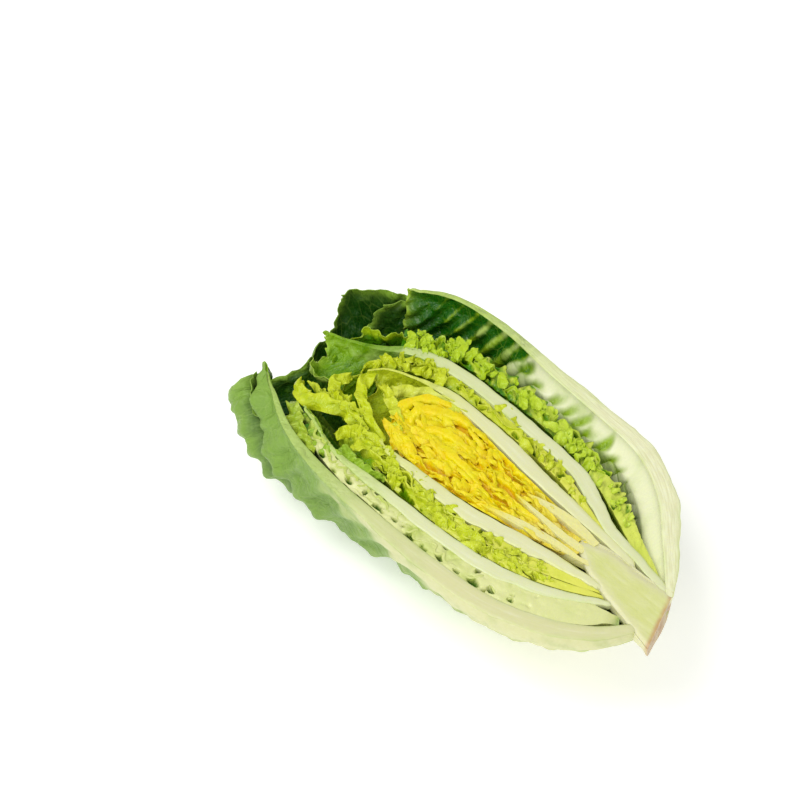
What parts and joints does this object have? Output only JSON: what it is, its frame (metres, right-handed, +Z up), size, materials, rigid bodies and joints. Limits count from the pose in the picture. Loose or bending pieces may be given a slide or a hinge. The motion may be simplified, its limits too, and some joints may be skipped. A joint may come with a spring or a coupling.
{
  "type": "halved romaine lettuce head",
  "caption": "Half of a small romaine lettuce head lying on its rounded back, cut face up, with nested ruffled leaves round a yellow heart and a cut stem.",
  "frame": {"origin": "middle of the bottom of the object's box, in the plane that it rests on", "axes": "+X along the head's axis towards the stem's cut end, +Z up out of the cut face, +Y across the cut face away from the viewer of the picture"},
  "size_m": [0.1484, 0.0816, 0.0392],
  "materials": {
    "stem": "pale yellow-green cut pith, moist, with a browned edge at the butt",
    "heart": "bright yellow crumpled leaf folds, moist and glossy",
    "outer_leaf_near": "fresh lettuce leaf, pale rib and green crinkled blade, slightly glossy",
    "outer_leaf_under": "fresh lettuce leaf, pale rib and green crinkled blade, slightly glossy",
    "outer_leaf_side": "fresh lettuce leaf, pale rib and green crinkled blade, slightly glossy",
    "outer_leaf_far": "fresh lettuce leaf, pale rib and green crinkled blade, slightly glossy",
    "leaf_near_dotted": "fresh lettuce leaf, pale rib and green crinkled blade, slightly glossy",
    "leaf_far_ruffled": "fresh lettuce leaf, pale rib and green crinkled blade, slightly glossy",
    "leaf_near_ribbed": "fresh lettuce leaf, pale rib and green crinkled blade, slightly glossy",
    "leaf_far_hooded": "fresh lettuce leaf, pale rib and green crinkled blade, slightly glossy",
    "leaf_near_crinkled": "fresh lettuce leaf, pale rib and green crinkled blade, slightly glossy",
    "leaf_near_curled": "fresh lettuce leaf, pale rib and green crinkled blade, slightly glossy",
    "leaf_far_crinkled": "fresh lettuce leaf, pale rib and green crinkled blade, slightly glossy",
    "leaf_far_folded": "fresh lettuce leaf, pale rib and green crinkled blade, slightly glossy",
    "leaf_near_pale": "fresh lettuce leaf, pale rib and green crinkled blade, slightly glossy"
  },
  "bodies": {
    "root": {"stem": "stem", "heart": "heart", "outer_leaf_near": "outer_leaf_near", "outer_leaf_under": "outer_leaf_under", "outer_leaf_side": "outer_leaf_side", "outer_leaf_far": "outer_leaf_far", "leaf_near_dotted": "leaf_near_dotted", "leaf_far_ruffled": "leaf_far_ruffled", "leaf_near_ribbed": "leaf_near_ribbed", "leaf_far_hooded": "leaf_far_hooded", "leaf_near_crinkled": "leaf_near_crinkled", "leaf_near_curled": "leaf_near_curled", "leaf_far_crinkled": "leaf_far_crinkled", "leaf_far_folded": "leaf_far_folded", "leaf_near_pale": "leaf_near_pale"}
  },
  "joints": []
}
